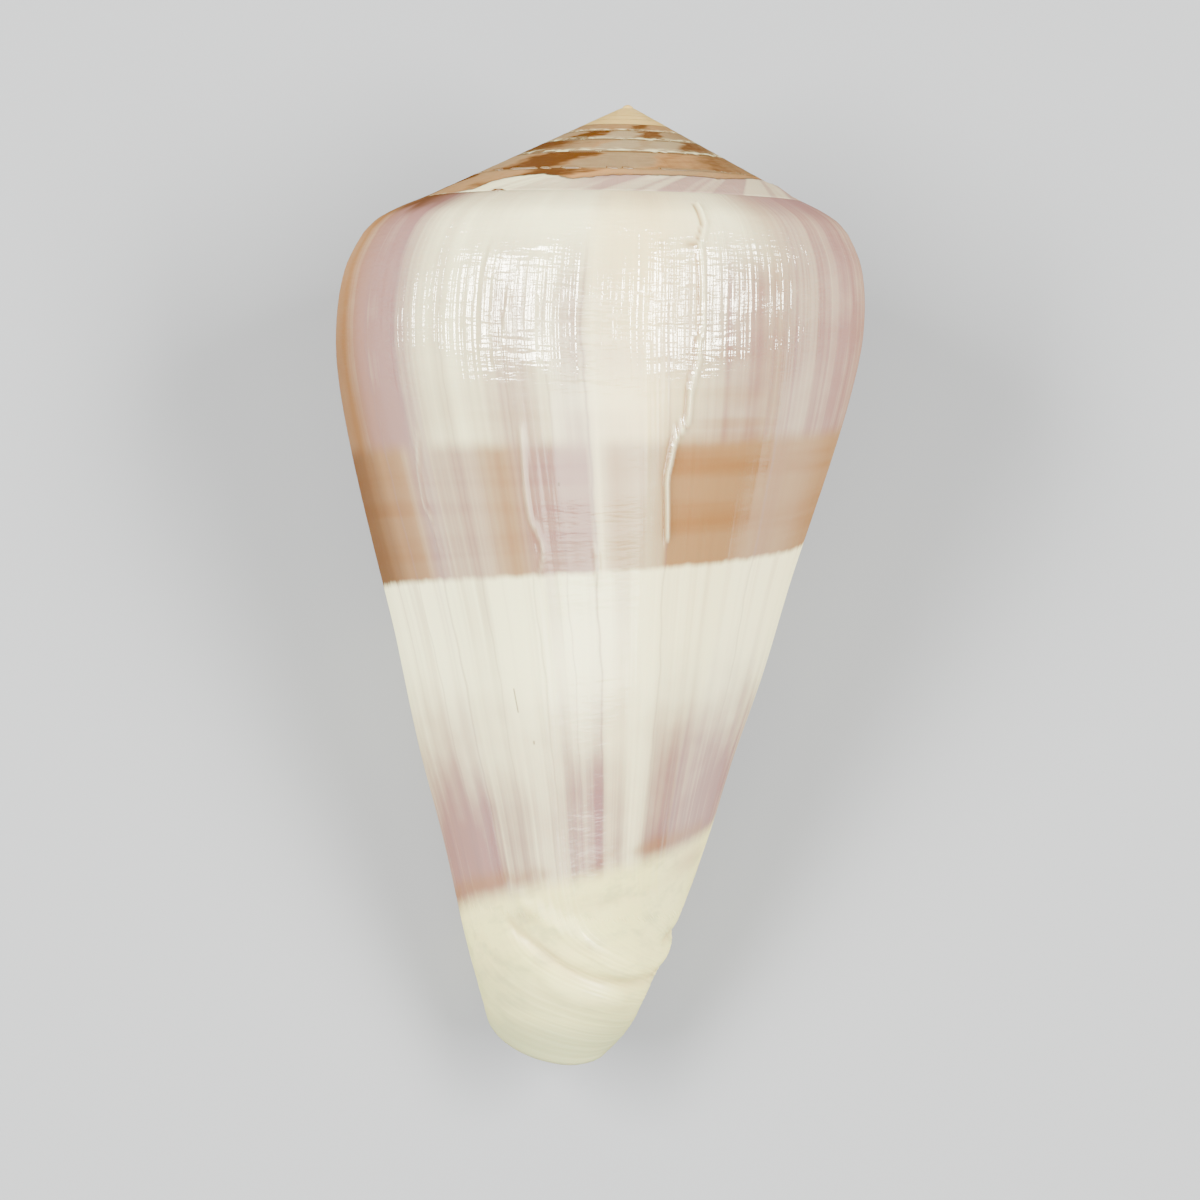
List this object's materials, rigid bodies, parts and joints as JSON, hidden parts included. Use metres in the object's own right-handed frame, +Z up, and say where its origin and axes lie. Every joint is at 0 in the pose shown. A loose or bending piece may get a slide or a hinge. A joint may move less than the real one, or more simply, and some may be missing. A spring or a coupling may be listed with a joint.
{
  "type": "cone shell",
  "caption": "Cone-shaped sea snail shell with a low spire, rounded shoulder and long narrow mouth, lying on its mouth.",
  "frame": {"origin": "on the ground under the middle of the shell's bounding box, as it lies on its mouth", "axes": "+Y towards the spire, +Z up, +X to the right when looking down with the spire away from the viewer"},
  "size_m": [0.0286, 0.0508, 0.0264],
  "materials": {
    "shell": "glossy natural shell, cream and pink-lilac with tan and lilac bands"
  },
  "bodies": {
    "root": {"shell": "shell"}
  },
  "joints": []
}
